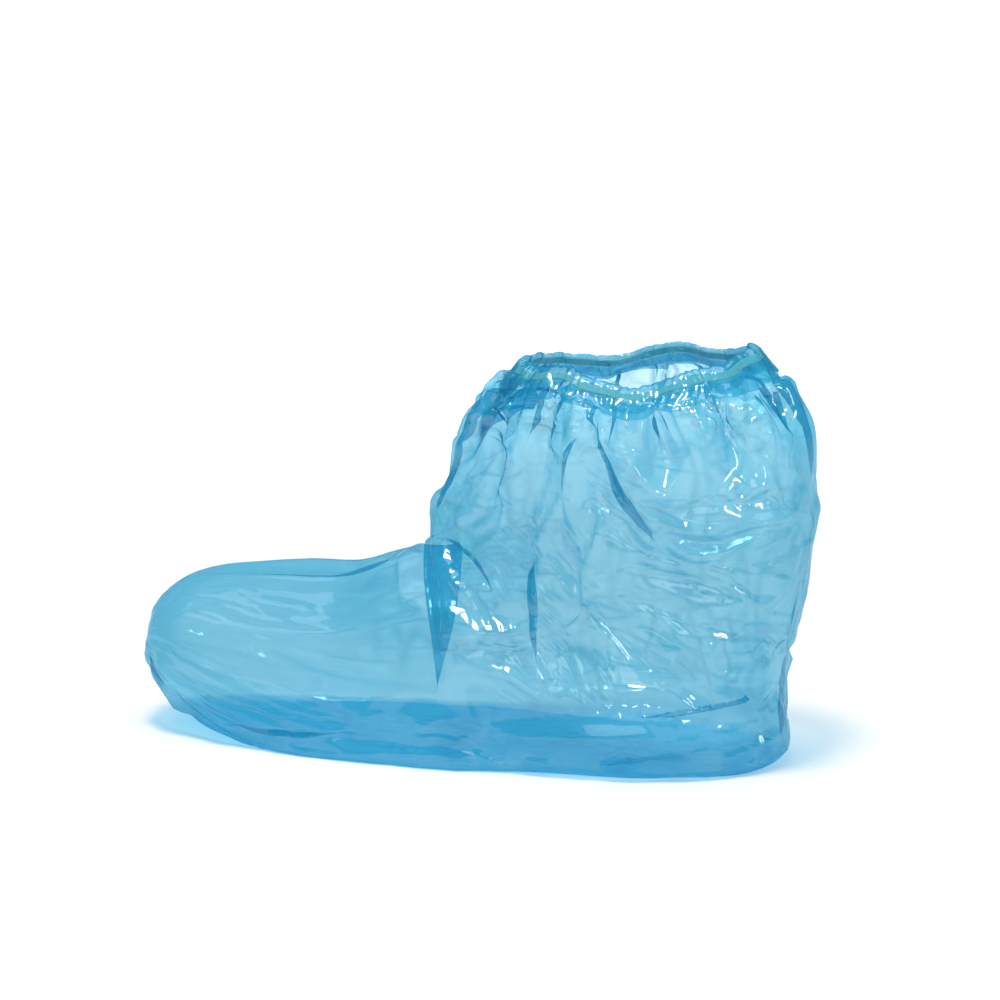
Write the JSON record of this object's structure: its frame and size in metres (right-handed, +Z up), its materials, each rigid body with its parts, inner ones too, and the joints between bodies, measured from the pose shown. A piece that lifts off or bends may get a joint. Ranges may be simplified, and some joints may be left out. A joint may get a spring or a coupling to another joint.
{
  "type": "shoe cover",
  "caption": "Ankle-high overshoe of thin see-through film in its worn form, with a gathered elastic hem round the opening and a pleat over the instep.",
  "frame": {"origin": "On the inner face of the sole, under the middle of the ankle opening, where the sole of the foot or shoe sits", "axes": "The toe points to -X and the heel to +X, +Z is up towards the opening, and -Y is the side that the picture shows"},
  "size_m": [0.3356, 0.1282, 0.2028],
  "materials": {
    "film": "thin glossy see-through blue film",
    "hem_film": "doubled and gathered glossy see-through blue film",
    "elastic": "matt pale olive elastic"
  },
  "bodies": {
    "root": {"film_bag": "film", "hem_casing": "hem_film", "elastic_band": "elastic"}
  },
  "joints": []
}
